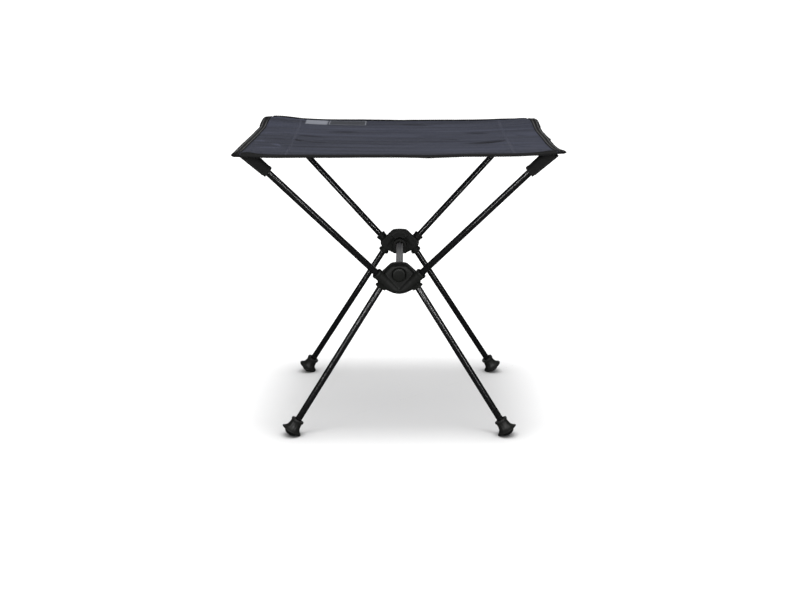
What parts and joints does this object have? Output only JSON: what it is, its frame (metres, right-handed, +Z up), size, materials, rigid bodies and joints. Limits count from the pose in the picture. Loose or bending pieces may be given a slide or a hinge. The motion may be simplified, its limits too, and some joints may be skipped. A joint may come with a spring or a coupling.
{
  "type": "folding camp table",
  "caption": "Low folding camp table: woven square top held out by crossed tube poles in moulded hubs, on splayed tube legs with flared feet.",
  "frame": {"origin": "on the floor, under the middle of the table", "axes": "+Z up; front is -Y (the side the picture shows); left is -X; the spreader tube runs along Y"},
  "size_m": [0.474, 0.474, 0.449],
  "materials": {
    "hub": "moulded, fine grain",
    "hub_cap": "moulded, fine grain",
    "pole": "gloss black anodised",
    "spreader_tube": "grey anodised",
    "pole_tip": "moulded",
    "foot": "moulded, matt",
    "leg_plug": "moulded",
    "cord": "braided cover",
    "top_fabric": "plain weave",
    "binding": "woven tape, stitched",
    "pocket": "webbing, stitched",
    "seam_tape": "woven tape",
    "label": "woven label, blank",
    "label_frame": "woven label, blank, light border"
  },
  "bodies": {
    "front_frame": {"front_hub": "hub", "front_hub_cap": "hub_cap", "spreader_tube": "spreader_tube", "spreader_cord": "cord"},
    "back_frame": {"back_hub": "hub", "back_hub_cap": "hub_cap"},
    "upper_front_left": {"upper_pole_fl": "pole", "pole_tip_fl": "pole_tip", "upper_cord_fl": "cord"},
    "upper_front_right": {"upper_pole_fr": "pole", "pole_tip_fr": "pole_tip", "upper_cord_fr": "cord"},
    "upper_back_left": {"upper_pole_bl": "pole", "pole_tip_bl": "pole_tip", "upper_cord_bl": "cord"},
    "upper_back_right": {"upper_pole_br": "pole", "pole_tip_br": "pole_tip", "upper_cord_br": "cord"},
    "leg_front_left": {"leg_fl": "pole", "foot_fl": "foot", "leg_plug_fl": "leg_plug", "leg_cord_fl": "cord"},
    "leg_front_right": {"leg_fr": "pole", "foot_fr": "foot", "leg_plug_fr": "leg_plug", "leg_cord_fr": "cord"},
    "leg_back_left": {"leg_bl": "pole", "foot_bl": "foot", "leg_plug_bl": "leg_plug", "leg_cord_bl": "cord"},
    "leg_back_right": {"leg_br": "pole", "foot_br": "foot", "leg_plug_br": "leg_plug", "leg_cord_br": "cord"},
    "top": {"top_fabric": "top_fabric", "binding_front": "binding", "binding_back": "binding", "binding_left": "binding", "binding_right": "binding", "pocket_fl": "pocket", "pocket_fr": "pocket", "pocket_bl": "pocket", "pocket_br": "pocket", "seam_tape_left": "seam_tape", "seam_tape_right": "seam_tape", "label_tab": "label", "label_frame": "label_frame"}
  },
  "joints": [
    {"name": "leg_front_left_pull", "type": "slide", "parent": "front_frame", "child": "leg_front_left", "axis": [-0.5286, -0.1158, -0.8409], "range_m": [0, 0.04], "stiffness_N_per_m": 80, "springref_m": -0.1},
    {"name": "leg_front_right_pull", "type": "slide", "parent": "front_frame", "child": "leg_front_right", "axis": [0.5286, -0.1158, -0.8409], "range_m": [0, 0.04], "stiffness_N_per_m": 80, "springref_m": -0.1},
    {"name": "leg_back_left_pull", "type": "slide", "parent": "back_frame", "child": "leg_back_left", "axis": [-0.5286, 0.1158, -0.8409], "range_m": [0, 0.04], "stiffness_N_per_m": 80, "springref_m": -0.1},
    {"name": "leg_back_right_pull", "type": "slide", "parent": "back_frame", "child": "leg_back_right", "axis": [0.5286, 0.1158, -0.8409], "range_m": [0, 0.04], "stiffness_N_per_m": 80, "springref_m": -0.1},
    {"name": "top_lift", "type": "slide", "parent": "front_frame", "child": "top", "axis": [0, 0, 1], "range_m": [0, 0.25]},
    {"name": "upper_front_left_pull", "type": "slide", "parent": "front_frame", "child": "upper_front_left", "axis": [-0.677, -0.2287, 0.6995], "range_m": [0, 0.04]},
    {"name": "upper_front_right_pull", "type": "slide", "parent": "front_frame", "child": "upper_front_right", "axis": [0.677, -0.2287, 0.6995], "range_m": [0, 0.04]},
    {"name": "upper_back_left_pull", "type": "slide", "parent": "back_frame", "child": "upper_back_left", "axis": [-0.677, 0.2287, 0.6995], "range_m": [0, 0.04]},
    {"name": "upper_back_right_pull", "type": "slide", "parent": "back_frame", "child": "upper_back_right", "axis": [0.677, 0.2287, 0.6995], "range_m": [0, 0.04]},
    {"name": "back_frame_pull", "type": "slide", "parent": "front_frame", "child": "back_frame", "axis": [0, 1, 0], "range_m": [0, 0.02]}
  ],
  "couplings": [
    {"joint": "upper_front_left_pull", "follows": "top_lift", "ratio": 0.16},
    {"joint": "upper_front_right_pull", "follows": "top_lift", "ratio": 0.16},
    {"joint": "upper_back_left_pull", "follows": "top_lift", "ratio": 0.16},
    {"joint": "upper_back_right_pull", "follows": "top_lift", "ratio": 0.16},
    {"joint": "back_frame_pull", "follows": "top_lift", "ratio": 0.08}
  ]
}
